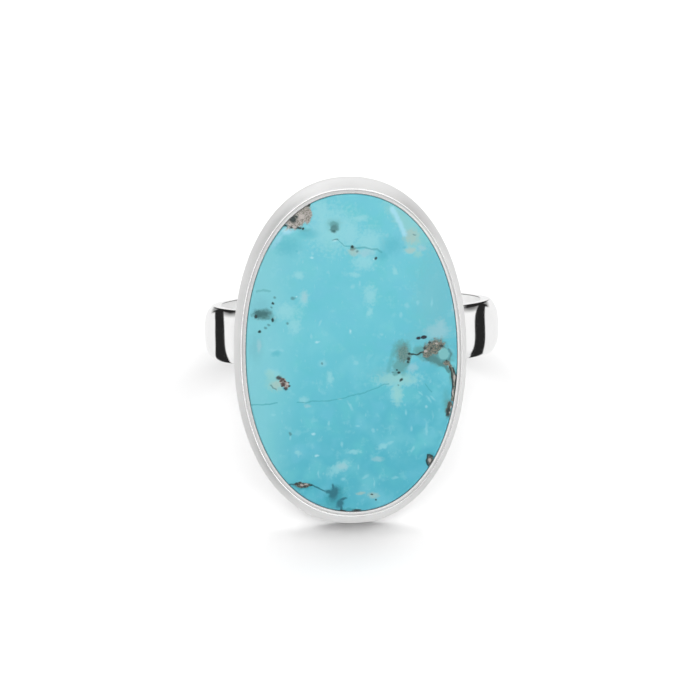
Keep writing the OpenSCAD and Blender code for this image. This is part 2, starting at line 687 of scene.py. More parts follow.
BEIGE = Marking((172, 192, 182), 0.6, soft=0.6, ragged=0.8, marks=(
    Spot(3.95, 7.6, 0.46, 0.46), Spot(0.15, 6.6, 0.33, 0.22), Spot(-4.95, -2.05, 0.36, 0.29),
    Spot(0.5, -9.2, 0.26, 0.1), Spot(1.35, -9.35, 0.33, 0.2), Spot(-1.75, -10.2, 0.33, 0.08, -15),
    Spot(3.85, 6.7, 0.33, 0.17),
))
PINKISH = Marking((158, 201, 210), 0.6, soft=0.6, ragged=0.8, marks=(
    Spot(0.95, 6.55, 0.46, 0.23), Spot(5.8, 1.65, 0.33, 0.52), Spot(6.65, 2.9, 0.13, 0.26),
    Spot(3.9, -0.95, 0.39, 0.26), Spot(-6.05, 0.55, 0.12, 0.39), Spot(-0.65, -7.4, 0.33, 0.23),
    Spot(1.6, -6.95, 0.33, 0.16), Spot(-2.95, -3.4, 0.2, 0.1), Spot(-3.05, 3.75, 0.2, 0.33),
    Spot(4.6, 6.85, 0.26, 0.2), Spot(5.6, 1.35, 0.75, 0.45),
))
STREAKS = Marking((164, 219, 236), 0.75, soft=0.7, ragged=0.5, marks=(
    Spot(-4.8, 7.35, 0.52, 0.16, 52), Spot(-4.1, 8, 0.39, 0.16, 20),
    Line(0.15, ((2.7, 9.4), (3, 8.85), (3.25, 8.35), (3.5, 7.75))),
))
FLECKS = Marking((144, 209, 220), 0.55, soft=0.7, ragged=0.6, marks=(
    Spot(-3.4, 6.6, 0.08, 0.08), Spot(-2.5, 6.55, 0.07, 0.07), Spot(2.35, 7.7, 0.1, 0.13),
    Spot(-2.05, 2.05, 0.06, 0.2, -30), Spot(-2.65, 1.15, 0.07, 0.16), Spot(-0.1, 1.45, 0.1, 0.13),
    Spot(1.95, 1.25, 0.13, 0.08), Spot(-4.6, 0.25, 0.13, 0.09), Spot(-5.2, 0.3, 0.26, 0.07),
    Spot(0.25, -0.6, 0.16, 0.12), Spot(-1.55, -4.55, 0.07, 0.13), Spot(-0.7, -5.95, 0.08, 0.17),
    Spot(3.5, -3.9, 0.07, 0.16), Spot(5.25, -4.1, 0.06, 0.26), Spot(4.85, -5.05, 0.09, 0.33),
    Spot(1.35, -5.05, 0.1, 0.13), Spot(0.35, -4.75, 0.13, 0.07), Spot(3.85, -4.95, 0.08, 0.13),
    Spot(3.95, -6.3, 0.08, 0.2, -30), Spot(0.8, -8.1, 0.23, 0.08, 30), Spot(2.8, -8.2, 0.2, 0.09),
    Spot(1.4, -8.55, 0.05, 0.2), Spot(-2.25, -7.85, 0.05, 0.2), Spot(-0.65, -8.25, 0.13, 0.1),
    Spot(0.35, -7.45, 0.07, 0.13), Spot(2.45, -5.9, 0.26, 0.09, 20), Spot(-0.15, -3.4, 0.08, 0.29, 30),
    Spot(5, -3.05, 0.07, 0.23, 40), Spot(5.25, -3, 0.07, 0.2, 50), Spot(4.45, -2.65, 0.2, 0.05, -40),
    Spot(-5.15, -3.95, 0.13, 0.07), Spot(3.6, 3.1, 0.13, 0.15), Spot(4.35, 3.25, 0.1, 0.13),
    Spot(5.25, 3.25, 0.07, 0.26), Spot(3.2, 2.5, 0.09, 0.16), Spot(0.1, 4.4, 0.13, 0.13),
    Spot(0.55, 4.55, 0.07, 0.13), Spot(-4.05, -5.45, 0.07, 0.13), Spot(-0.8, -2.95, 0.13, 0.07),
    Spot(-1.9, -0.6, 0.25, 0.21),
))
BRIGHT_FLECKS = Marking((176, 222, 232), 0.7, soft=0.6, ragged=0.5, marks=(
    Spot(-2.55, 6.3, 0.1, 0.08), Spot(-2.25, 0.8, 0.13, 0.08), Spot(-4.25, 8.1, 0.23, 0.1, 20),
    Spot(-1.05, 7.35, 0.1, 0.06), Spot(1.45, 6.15, 0.06, 0.05), Spot(-2.55, -5.25, 0.1, 0.07),
    Spot(-2.3, -6.7, 0.12, 0.07), Spot(4.85, -3.55, 0.08, 0.1), Spot(-5, 2.4, 0.07, 0.1),
    Spot(-3.6, 3.75, 0.06, 0.06), Spot(-0.1, 1.5, 0.06, 0.08),
))
DEEP_BLUE = Marking((92, 180, 196), 0.65, soft=0.8, ragged=0.8, marks=(
    Spot(-4.95, 0.05, 0.26, 0.16), Spot(2.05, 6.45, 0.33, 0.33), Spot(4.9, -3.9, 0.59, 0.39),
    Spot(-3.55, 6.7, 0.12, 0.09), Spot(-4.15, 7.05, 0.78, 0.52), Spot(2.65, 7.05, 0.59, 0.52),
    Spot(3.45, 6.9, 0.13, 0.08), Spot(-2.8, 7.85, 0.59, 0.26),
))
CRACK = Marking((74, 156, 168), 0.6, soft=0.7, ragged=0.4, marks=(
    Line(0.042, ((-6.6, -3.3), (-5.9, -3.3), (-5.5, -3.25), (-4.9, -3.15))),
    Line(0.033, ((-3.6, -3.15), (-3, -3.2), (-2.65, -3.1), (-1.6, -3.1), (-0.65, -2.9),
                 (0.5, -2.65), (1.35, -2.35), (2.05, -2.05), (2.4, -2))),
    Line(0.029, ((-0.9, 7.45), (-0.45, 7.05), (0, 7))),
    Line(0.059, ((0.3, 6.85), (0.85, 6.9), (1.35, 6.8), (1.7, 6.8), (2, 6.6))),
    Line(0.029, ((4.75, -2.05), (5.2, -2.6))),
))
SOFT_TEAL = Marking((92, 162, 168), 0.5, soft=0.8, ragged=0.7, marks=(
    Spot(6.15, -3.1, 0.22, 0.59), Spot(3.25, 0.5, 0.46, 0.33), Spot(-3.05, 8.1, 0.33, 0.1),
    Spot(4.5, 0.05, 0.33, 0.26), Spot(-1.1, 8.4, 0.42, 0.33), Spot(-5.1, 2.35, 0.2, 0.2),
    Line(0.13, ((2.8, 0.45), (2.55, -0.5), (2.4, -1.2))), Line(0.156, ((3.6, -0.75), (3.35, -1.35))),
    Line(0.065, ((-6.15, 4.1), (-5.75, 4.2), (-5.3, 4.1))),
))
TEAL_FRINGE = Marking((100, 158, 160), 0.85, soft=0.4, ragged=0.6, marks=(
    Spot(3.3, 0.05, 0.55, 0.72), Spot(3.1, -0.85, 0.46, 0.42), Spot(5.35, 0.15, 0.91, 0.59, 25),
    Spot(5.8, -0.35, 0.78, 0.52), Spot(6.3, -3.7, 0.22, 0.59), Spot(6.6, -1.55, 0.21, 0.65),
    Spot(4.45, 0.1, 0.45, 0.33), Spot(-1.1, 8.42, 0.31, 0.18),
    Line(0.15, ((3.7, -0.55), (3.3, -1), (2.8, -1.35))),
))
TEAL_GLOW = Marking((66, 148, 162), 0.75, soft=0.6, ragged=0.5, marks=(
    Spot(-1.15, -9.4, 0.55, 0.72, -35), Spot(-3.3, -8.65, 0.65, 0.23, -5), Spot(5.1, -7.1, 0.29, 0.42),
    Spot(-0.6, -10.3, 0.98, 0.13),
))
TEAL = Marking((86, 132, 134), 0.9, soft=0.4, ragged=0.5, marks=(
    Spot(-5.8, 2.6, 0.62, 0.35), Spot(-1.08, 8.15, 0.24, 0.25),
    Spot(5.25, -0.45, 0.59, 0.22, -15), Spot(6.1, -0.7, 0.26, 0.2),
    Line(0.065, ((3.85, -0.1), (4.25, -0.1), (4.65, 0.05))),
    Line(0.124, ((5.6, -0.65), (6.1, -0.9), (6.35, -1.25))),
))
DARK_TEAL = Marking((40, 108, 122), 0.85, soft=0.45, ragged=0.3, marks=(
    Spot(-1.25, -9.15, 0.3, 0.46, -15), Spot(-1.55, -9.05, 0.33, 0.12, -10),
    Spot(-0.85, -9.85, 0.22, 0.29, -30), Spot(-1.3, -8.75, 0.09, 0.22), Spot(-0.65, -9.55, 0.26, 0.08, 15),
    Line(0.052, ((-4.15, -8.55), (-3.75, -8.55))),
    Line(0.052, ((-2.65, -8.65), (-2.3, -8.8), (-1.85, -9))), Line(0.072, ((-0.8, -9.95), (-0.75, -10.3))),
))
GREY_GREEN = Marking((118, 140, 134), 0.8, soft=0.45, ragged=0.7, grain=(92, 124, 120), marks=(
    Spot(3.35, -0.05, 0.36, 0.56), Spot(3.7, -0.3, 0.17, 0.29), Spot(0.1, 6.85, 0.17, 0.15),
))
SMOKE = Marking((66, 104, 106), 0.7, soft=0.6, ragged=1.0, marks=(
    Spot(-5.95, 2.6, 0.39, 0.21), Spot(-5.6, 2.65, 0.2, 0.13), Spot(-1.15, 8, 0.13, 0.09),
))
PALE_MATRIX = Marking((176, 171, 166), 1.0, soft=0.15, ragged=0.4, grain=(126, 124, 117), marks=(
    Spot(-3.45, 8.9, 0.98, 0.57, 40), Spot(-2.9, 9.1, 0.39, 0.62), Spot(-4.45, -1.9, 0.22, 0.42, 35),
))
DARK_MATRIX = Marking((136, 127, 115), 0.95, soft=0.3, ragged=0.6, grain=(80, 94, 88), marks=(
    Spot(5.35, 0.35, 0.72, 0.46, 32), Spot(4.9, -0.05, 0.33, 0.26), Spot(5.75, 0.55, 0.23, 0.2),
    Spot(-2.75, 9.65, 0.13, 0.1, 40), Spot(6.2, -0.7, 0.2, 0.17),
    Line(0.124, ((6.4, -0.9), (6.6, -1.3), (6.7, -1.8), (6.7, -2.45), (6.55, -3.1))),
))
DEEP_MATRIX = Marking((108, 104, 94), 0.95, soft=0.25, ragged=0.6, grain=(34, 52, 54), marks=(
    Spot(-3.3, -8.6, 0.52, 0.18, -5), Spot(5.1, -7.1, 0.2, 0.34), Spot(6.35, -3.65, 0.16, 0.52, -10),
))
RING_EYE = Marking((124, 187, 190), 1.0, soft=0.15, ragged=0.2, marks=(
    Spot(6, -0.1, 0.35, 0.35),
))
SOFT_SPECKS = Marking((86, 130, 134), 0.7, soft=0.6, ragged=0.5, marks=(
    Spot(-5, 3.7, 0.07, 0.07), Spot(-5.2, 3.05, 0.08, 0.07), Spot(-3.8, 3.65, 0.16, 0.09),
    Spot(-5.4, 1.9, 0.08, 0.07), Spot(-5.6, 1.75, 0.09, 0.08), Spot(-4.2, 2, 0.1, 0.07),
    Spot(-4.05, -5.2, 0.1, 0.1), Spot(-1.95, -0.6, 0.07, 0.07), Spot(-1, 7.45, 0.2, 0.06),
    Spot(2.65, -1.25, 0.07, 0.05), Spot(3, -2.1, 0.06, 0.05), Spot(4.15, 7.7, 0.13, 0.05),
    Spot(0.4, 6.65, 0.08, 0.07),
    Line(0.052, ((-5.3, -2), (-5.2, -2.2), (-4.95, -2.3))),
    Line(0.059, ((6.3, 0.2), (6.5, -0.1), (6.35, -0.5))),
))
DARKS = Marking((58, 68, 68), 0.95, soft=0.45, ragged=0.5, marks=(
    Spot(-3.75, 8.75, 0.21, 0.21), Spot(-3.5, 8.95, 0.13, 0.08), Spot(-4.25, 8.35, 0.14, 0.08),
    Spot(-3.85, 8.25, 0.1, 0.07), Spot(-3.4, 8.25, 0.2, 0.08), Spot(-3.1, 8.2, 0.1, 0.08),
    Spot(-2.7, 9.7, 0.1, 0.07, 40), Spot(0.1, 6.95, 0.12, 0.1), Spot(1.6, 6.2, 0.1, 0.1),
    Spot(-5.1, 3.35, 0.08, 0.08), Spot(-6.25, 2.45, 0.11, 0.13), Spot(-5.15, 2.25, 0.08, 0.13),
    Spot(-6, 1.5, 0.1, 0.1), Spot(3.75, -0.05, 0.11, 0.07), Spot(3.7, -0.4, 0.13, 0.12),
    Spot(3.65, -0.6, 0.08, 0.08), Spot(2.9, -1.1, 0.08, 0.06), Spot(3.05, -1.3, 0.12, 0.08),
    Spot(3.2, -1.75, 0.08, 0.14, -40), Spot(5.1, 0.65, 0.1, 0.07), Spot(5.85, 0.4, 0.14, 0.08),
    Spot(5.2, 0.25, 0.09, 0.07), Spot(4.75, 0.3, 0.08, 0.07), Spot(6.2, -0.55, 0.08, 0.07),
    Spot(-3.7, -8.5, 0.12, 0.07), Spot(-3.45, -8.45, 0.09, 0.06), Spot(-3.2, -8.7, 0.14, 0.06),
    Spot(-2.75, -8.65, 0.12, 0.07), Spot(1.25, -9.3, 0.1, 0.05), Spot(1.5, -9.65, 0.07, 0.05),
    Spot(5.15, -6.8, 0.2, 0.07, -20), Spot(-0.7, -10.35, 0.22, 0.07), Spot(0.25, -10.3, 0.29, 0.07),
    Spot(6.3, -3.9, 0.12, 0.33, -10),
    Line(0.052, ((6.4, -0.95), (6.55, -1.5), (6.6, -2.15), (6.5, -2.85))),
    Line(0.059, ((6.6, -1.05), (6.8, -1.55), (6.8, -2.1))),
    Line(0.059, ((4.95, -6.75), (4.85, -7.15), (4.95, -7.45))),
    Line(0.039, ((3.85, -0.1), (4.25, -0.1), (4.65, 0.05))),
))
RED_DARKS = Marking((70, 50, 56), 0.9, soft=0.45, ragged=0.6, marks=(
    Spot(-4.8, -1.55, 0.19, 0.14), Spot(-4.55, -1.65, 0.12, 0.1), Spot(-4.65, -1.75, 0.08, 0.07),
    Spot(-4.5, -2, 0.14, 0.14), Spot(-4.35, -2.25, 0.14, 0.12), Spot(-4.4, -1.8, 0.09, 0.08),
    Spot(-4.15, -1.85, 0.07, 0.05), Spot(-4.1, -2.1, 0.1, 0.07), Spot(-4.55, -2.1, 0.08, 0.07),
))
PALE_GRAIN = Marking((200, 192, 188), 0.7, soft=0.5, ragged=0.6, marks=(
    Spot(-3.2, 8.95, 0.2, 0.16), Spot(4.8, 0.1, 0.1, 0.07), Spot(5.55, 0.6, 0.1, 0.07),
    Spot(-4.25, -1.95, 0.07, 0.06), Spot(-3.3, -8.6, 0.09, 0.06), Spot(-3.05, -8.55, 0.09, 0.05),
    Spot(5.05, -7.1, 0.08, 0.13), Spot(6.6, -2.65, 0.06, 0.2), Spot(6.45, -3.65, 0.05, 0.08),
    Spot(6.4, -3.95, 0.05, 0.07), Spot(6.7, -1.7, 0.05, 0.26), Spot(-3.65, 8.3, 0.13, 0.05),
    Spot(-3.95, 8.45, 0.09, 0.05),
))
BLACKS = Marking((40, 64, 72), 1.0, soft=0.3, ragged=0.2, marks=(
    Spot(4.35, 0.95, 0.16, 0.12), Spot(4.68, 1, 0.19, 0.13),
))
MATRIX = (PALE_MATRIX, DARK_MATRIX, DEEP_MATRIX)
MARKINGS = (PALE_CLOUDS, GREY_VEIL, GREENISH, BEIGE, PINKISH, STREAKS, FLECKS, BRIGHT_FLECKS, DEEP_BLUE,
            CRACK, SOFT_TEAL, TEAL_FRINGE, TEAL_GLOW, TEAL, DARK_TEAL, GREY_GREEN, SMOKE, *MATRIX,
            RING_EYE, SOFT_SPECKS, DARKS, RED_DARKS, PALE_GRAIN, BLACKS)


class Wash(NamedTuple):
    """A soft change of the ground's colour: none where a value is low, full where it is high."""

    shade: Colour
    low: float
    high: float
    strength: float


# The plain turquoise: its two shades, painted shade and painted light at the ends of its slope,
# the washes over them, and how a display colour is lit
GROUND_PAINTED_SHADE = (90, 178, 197)
GROUND_PAINTED_LIGHT = (110, 196, 211)
PALE_BROAD = Wash((126, 205, 216), 0.45, 0.7, 0.45)
GREEN_BROAD = Wash((100, 193, 204), 0.45, 0.3, 0.4)
BLUE_HUE = Wash((112, 192, 214), 0.52, 0.7, 0.4)
GREEN_HUE = Wash((106, 198, 204), 0.48, 0.3, 0.4)
LEFT_VEIL = Wash((134, 204, 213), -2.5, -6.6, 0.75)
PALE_PATCHES = Wash((138, 208, 218), 0.54, 0.68, 0.3)
STREWN_FLECKS = Wash((146, 209, 220), 0.64, 0.76, 0.35)
DISPLAY_POWER = 2.2
GLOSS_SHARE = 0.035
DARKEST = 0.002


def seen(shade: Colour) -> Colour:
    """Base colour that shows as a display colour under the studio's lamps.

    Each channel is made linear, as its share of 255 to the display's power, less the share that
    the gloss adds.
    """
    return tuple(max(DARKEST, (c / 255) ** DISPLAY_POWER - GLOSS_SHARE) for c in shade)


class StonePaint:
    """Paints the stone's face: each marking is laid over the ones before it.

    The place on the face is bent by up to bend millimetres, which loosens every outline. The
    ground is deep and light at the two ends of a slope over the face, in millimetres: painted
    shade towards the lower right and painted light towards the upper left. A scale is how many
    cells of noise lie on a millimetre.
    """

    bend: float = 0.1
    bend_scale: float = 2.2
    fray_scale: float = 4.5
    speck_scale: float = 10.0
    speck_edge: Span = (0.54, 0.46)
    painted_light_slope: Vec3 = (-0.45, 0.9, 0.0)
    painted_shade_end: float = -8.0
    painted_light_end: float = 3.0
    across_face: Vec3 = (1.0, -0.05, 0.0)
    broad_scale: float = 0.45
    hue_scale: float = 0.6
    hue_shift: Vec3 = (31.0, 17.0, 0.0)
    patch_scale: float = 1.3
    fleck_lean_deg: float = 30.0
    fleck_stretch: Vec3 = (3.4, 1.5, 1.0)

    def __init__(self, bench: NodeBench) -> None:
        """Reads the place on the face and bends it a little with noise.

        Args:
            bench: Where the nodes are made.
        """
        self.bench = bench
        self.place = bench.node("ShaderNodeAttribute", attribute_name="face_mm").outputs["Vector"]
        drift = bench.node("ShaderNodeTexNoise", {
            "Vector": self.place, "Scale": self.bend_scale, "Detail": 2.0}).outputs["Color"]
        bent = bench.vector("MULTIPLY_ADD", drift, (2 * self.bend, 2 * self.bend, 0.0),
                            (-self.bend, -self.bend, 0.0))
        self.where = bench.vector("ADD", self.place, bent)
        self.fray = bench.math("SUBTRACT", bench.noise(self.place, self.fray_scale, 3.0, 0.6), 0.5)
        self.specks = bench.noise(self.place, self.speck_scale, 2.0, 0.7)

    def spot(self, mark: Spot) -> Socket:
        """Distance from a spot's middle, 1 at its edge.

        Args:
            mark: The spot.

        Returns:
            sqrt(u^2 + v^2), where u and v are the place along the spot's own two axes, from its
            middle, each divided by its half size.
        """
        bench, turn = self.bench, math.radians(mark.turn_deg)
        if mark.turn_deg == 0.0:
            near = bench.vector("MULTIPLY_ADD", self.where, (1 / mark.half_x, 1 / mark.half_y, 0.0),
                                (-mark.x / mark.half_x, -mark.y / mark.half_y, 0.0))
            return bench.node("ShaderNodeVectorMath", {0: near}, operation="LENGTH").outputs["Value"]
        squares = []
        for along, half in ((turn, mark.half_x), (turn + math.pi / 2, mark.half_y)):
            axis = (math.cos(along) / half, math.sin(along) / half, 0.0)
            off = bench.math("SUBTRACT", bench.dot(self.where, axis), mark.x * axis[0] + mark.y * axis[1])
            squares.append(bench.math("MULTIPLY", off, off))
        return bench.math("SQRT", bench.math("ADD", *squares))

    def stretch(self, a: Span, b: Span) -> Socket:
        """Distance from one straight stretch of a line, in millimetres.

        Args:
            a: Start of the stretch.
            b: End of the stretch.

        Returns:
            The distance to the stretch's nearest point, a + t (b - a) with t held from 0 to 1.
        """
        bench = self.bench
        run, rise = b[0] - a[0], b[1] - a[1]
        from_a = bench.vector("SUBTRACT", self.where, (a[0], a[1], 0.0))
        square = run * run + rise * rise
        t = bench.dot(from_a, (run / square, rise / square, 0.0))
        t = bench.math("MAXIMUM", bench.math("MINIMUM", t, 1.0), 0.0)
        nearest = bench.node("ShaderNodeVectorMath", {0: (run, rise, 0.0), "Scale": t}, operation="SCALE")
        off = bench.node("ShaderNodeVectorMath", {0: from_a, 1: nearest.outputs[0]}, operation="DISTANCE")
        return off.outputs["Value"]

    def line(self, mark: Line) -> Socket:
        """Distance from a line.

        Args:
            mark: The line.

        Returns:
            The distance from its nearest stretch, as a share of its half width.
        """
        nearest = self.stretch(*mark.path[:2])
        for a, b in zip(mark.path[1:], mark.path[2:]):
            nearest = self.bench.math("MINIMUM", nearest, self.stretch(a, b))
        return self.bench.math("DIVIDE", nearest, mark.half_width)

    def mask(self, marking: Marking) -> Socket:
        """Share of a marking at each place.

        Args:
            marking: Marks of one colour.

        Returns:
            The marking's strength inside its marks and 0 outside, over a soft and frayed edge.
        """
        bench, nearest = self.bench, None
        for mark in marking.marks:
            near = self.spot(mark) if isinstance(mark, Spot) else self.line(mark)
            nearest = near if nearest is None else bench.math("MINIMUM", nearest, near)
        frayed = bench.math("MULTIPLY_ADD", self.fray, 2 * marking.ragged, nearest)
        return bench.ramp(frayed, 1 + marking.soft, 1 - marking.soft, 0.0, marking.strength)

    def wash(self, colour: Socket, value: Socket, wash: Wash) -> Socket:
        """Lays a wash over a colour, by a value that says where it is strong."""
        share = self.bench.ramp(value, wash.low, wash.high, 0.0, wash.strength)
        return self.bench.blend(share, colour, seen(wash.shade))

    def ground(self) -> Socket:
        """Colour of the plain turquoise.

        It deepens from the upper left to the lower right and pales towards the left edge; the
        deepening is painted shade and the lighter upper left is painted light. Soft clouds of lighter,
        deeper and greener blue lie in it, and small pale flecks are strewn over it.

        Returns:
            The colour's socket.
        """
        bench = self.bench
        # Painted light and shade: lighter towards the upper left, darker towards the lower right
        slope = bench.dot(self.place, self.painted_light_slope)
        colour = bench.blend(bench.ramp(slope, self.painted_shade_end, self.painted_light_end),
                             seen(GROUND_PAINTED_SHADE), seen(GROUND_PAINTED_LIGHT))
        broad = bench.noise(self.place, self.broad_scale, 3.0)
        colour = self.wash(colour, broad, PALE_BROAD)
        colour = self.wash(colour, broad, GREEN_BROAD)
        hue = bench.noise(bench.vector("ADD", self.place, self.hue_shift), self.hue_scale, 2.0)
        colour = self.wash(colour, hue, BLUE_HUE)
        colour = self.wash(colour, hue, GREEN_HUE)
        colour = self.wash(colour, bench.dot(self.place, self.across_face), LEFT_VEIL)
        patches = bench.noise(self.place, self.patch_scale, 4.0, 0.65)
        colour = self.wash(colour, patches, PALE_PATCHES)
        leaning = bench.node("ShaderNodeMapping", {
            "Vector": self.place, "Rotation": (0.0, 0.0, math.radians(self.fleck_lean_deg)),
            "Scale": self.fleck_stretch}).outputs[0]
        return self.wash(colour, bench.noise(leaning, 1.0, 2.0, 0.55), STREWN_FLECKS)

    def colour(self) -> Socket:
        """Colour of the face: the ground with each marking laid over it in turn.

        Returns:
            The colour's socket.
        """
        colour = self.ground()
        for marking in MARKINGS:
            shade = seen(marking.shade)
            if marking.grain is not None:
                grain = self.bench.ramp(self.specks, *self.speck_edge)
                shade = self.bench.blend(grain, shade, seen(marking.grain))
            colour = self.bench.blend(self.mask(marking), colour, shade)
        return colour

    def matrix(self) -> Socket:
        """Share of brown matrix at each place."""
        return reduce(lambda a, b: self.bench.math("MAXIMUM", a, b), [self.mask(m) for m in MATRIX])


@dataclass
class Stone:
    """The oval turquoise: a low dome with a rounded edge, an upright side and a flat back.

    Heights stand on the back of the bezel's plate. The face ends at rim_inset, at the sides and
    at the ends, and from roll_start of the way there it rolls down by roll_drop. Below the lip
    the side swells to shoulder_out times the face's outline.
    """

    oval: Oval = field(default_factory=Oval)
    across: int = 241
    edge_h: float = 2.45
    top_h: float = 2.86
    rim_inset: Span = (0.765, 1.045)
    roll_start: float = 0.988
    roll_drop: float = 0.04
    under_lip_h: float = 2.34
    shoulder_h: float = 1.9
    shoulder_out: float = 1.012
    bed_h: float = 0.94
    polish: float = 0.18
    matrix_roughness: float = 0.5
    matrix_relief: float = 0.03
    relief_strength: float = 0.5
    ior: float = 1.6

    def face(self) -> np.ndarray:
        """The stone's face as a grid of near-square cells.

        A square grid from -1 to 1 is drawn to a disc ring by ring, and the disc to the oval. The
        height falls from the middle with the square of the distance, as a low dome.

        Returns:
            A square grid of points in the head's frame.
        """
        s = np.linspace(-1, 1, self.across)
        u, v = np.meshgrid(s, s, indexing="ij")
        r = np.maximum(np.abs(u), np.abs(v))
        length = np.maximum(np.hypot(u, v), 1e-12)
        x, y = u * r / length, v * r / length
        turn = np.arctan2(y, x)
        inset_b, inset_l = self.rim_inset
        rim = self.oval.ring(np.array([inset_b]), np.array([inset_l]), turn.ravel())[0]
        flat = rim.reshape(*turn.shape, 2) * r[..., None]
        height = self.edge_h + (self.top_h - self.edge_h) * (1 - r ** 2)
        height -= self.roll_drop * np.clip((r - self.roll_start) / (1 - self.roll_start), 0, 1) ** 2
        return np.concatenate([flat, height[..., None]], -1)

    def surface(self) -> tuple[np.ndarray, np.ndarray]:
        """The stone's whole surface: its face, and below it rings that close side and back.

        Returns:
            The points in the head's frame, and the four point numbers of each face.
        """
        n = self.across
        face = self.face().reshape(-1, 3)
        number = np.arange(n * n).reshape(n, n)
        corners = [number[:-1, :-1], number[1:, :-1], number[1:, 1:], number[:-1, 1:]]
        edge = np.concatenate([number[:-1, 0], number[-1, :-1], number[:0:-1, -1], number[0, :0:-1]])
        points, faces, above = [face], [np.stack(corners, -1).reshape(-1, 4)], edge
        total = n * n
        rings = ((1.0, self.under_lip_h), (self.shoulder_out, self.shoulder_h),
                 (self.shoulder_out, self.bed_h), (0.0, self.bed_h))
        for widen, height in rings:
            points.append(face[edge] * np.array([widen, widen, 0.0]) + np.array([0.0, 0.0, height]))
            below = total + np.arange(len(edge))
            faces.append(np.stack([above, np.roll(above, -1), np.roll(below, -1), below], -1))
            above, total = below, total + len(edge)
        return np.concatenate(points), np.concatenate(faces)

    def build(self) -> bpy.types.Object:
        """Builds the stone and gives it its finish.

        Returns:
            The stone.
        """
        points, faces = self.surface()
        mesh = face_mesh("turquoise", POSE.place(HEAD.to_ring(points)), faces)
        on_face = HEAD.on_face(ring_points(mesh))
        face_mm = mesh.attributes.new("face_mm", "FLOAT_VECTOR", "POINT")
        face_mm.data.foreach_set("vector", on_face.ravel())
        return finish_piece("turquoise", mesh, self.material(), "turquoise_stone")

    def material(self) -> bpy.types.Material:
        """Builds the stone's material.

        Returns:
            A polished stone, whose brown matrix is rougher and grainy.
        """
        made = bpy.data.materials.new("turquoise_with_matrix")
        made.use_nodes = True
        bench = NodeBench(made.node_tree)
        paint = StonePaint(bench)
        colour, matrix = paint.colour(), paint.matrix()
        grain = bench.math("MULTIPLY", matrix, paint.specks)
        bump = bench.node("ShaderNodeBump", {
            "Strength": self.relief_strength, "Distance": self.matrix_relief * MM,
            "Height": grain}).outputs[0]
        roughness = bench.ramp(matrix, 0.0, 1.0, self.polish, self.matrix_roughness)
        shader = bench.node("ShaderNodeBsdfPrincipled", {
            "Base Color": colour, "Roughness": roughness, "IOR": self.ior, "Normal": bump})
        bench.node("ShaderNodeOutputMaterial", {0: shader.outputs[0]})
        return made


def finish_piece(name: str, mesh: bpy.types.Mesh, material: bpy.types.Material,
                 node: str) -> bpy.types.Object:
    """Puts a finished mesh into the scene as a piece of the ring.

    Args:
        name: Name of the piece.
        mesh: Its mesh, in the row frame.
        material: Its material.
        node: The CAD node that it stands for.

    Returns:
        The piece.
    """
    piece = bpy.data.objects.new(name, mesh)
    bpy.context.scene.collection.objects.link(piece)
    mesh.materials.append(material)
    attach(piece, "root")
    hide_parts(node)
    LOG.info("%s: %d faces", name, len(mesh.polygons))
    return piece


def sight(left_deg: float) -> tuple[Vec3, Vec3, Vec3]:
    """Directions of a level look at the ring, in the row frame.

    Args:
        left_deg: How far to the left of the ring's own front the look comes from.

    Returns:
        The front, towards the one who looks; the right; and the finger's axis.
    """
    a = math.radians(left_deg)
    ways = np.array([[-math.sin(a), -math.cos(a), 0.0], [math.cos(a), -math.sin(a), 0.0], [0.0, 0.0, 1.0]])
    front, right, up = (tuple(way) for way in POSE.turn(ways).tolist())
    return front, right, up


@dataclass(frozen=True)
class TentLevels:
    """Brightness of the tent's parts, where 1 is white.

    Of the pairs, the first is a part's brightness straight behind the ring, or what the roof
    keeps of it in front.
    """

    left_wall: float = 0.76
    right_wall: float = 0.93
    back_wall: float = 0.97
    front_wall: float = 0.72
    corner: float = 0.2
    roof: Span = (0.42, 0.95)
    roof_in_front: Span = (0.6, 1.2)
    zenith: float = 0.7
    ground: Span = (0.8, 1.0)
    hoop: float = 2.8
    hoop_on_right: float = 0.45
    grey_panel: float = 0.3
    frame: float = 0.02
    lobe: float = 0.92
    bounce: float = 0.1
    backdrop: float = 1.0


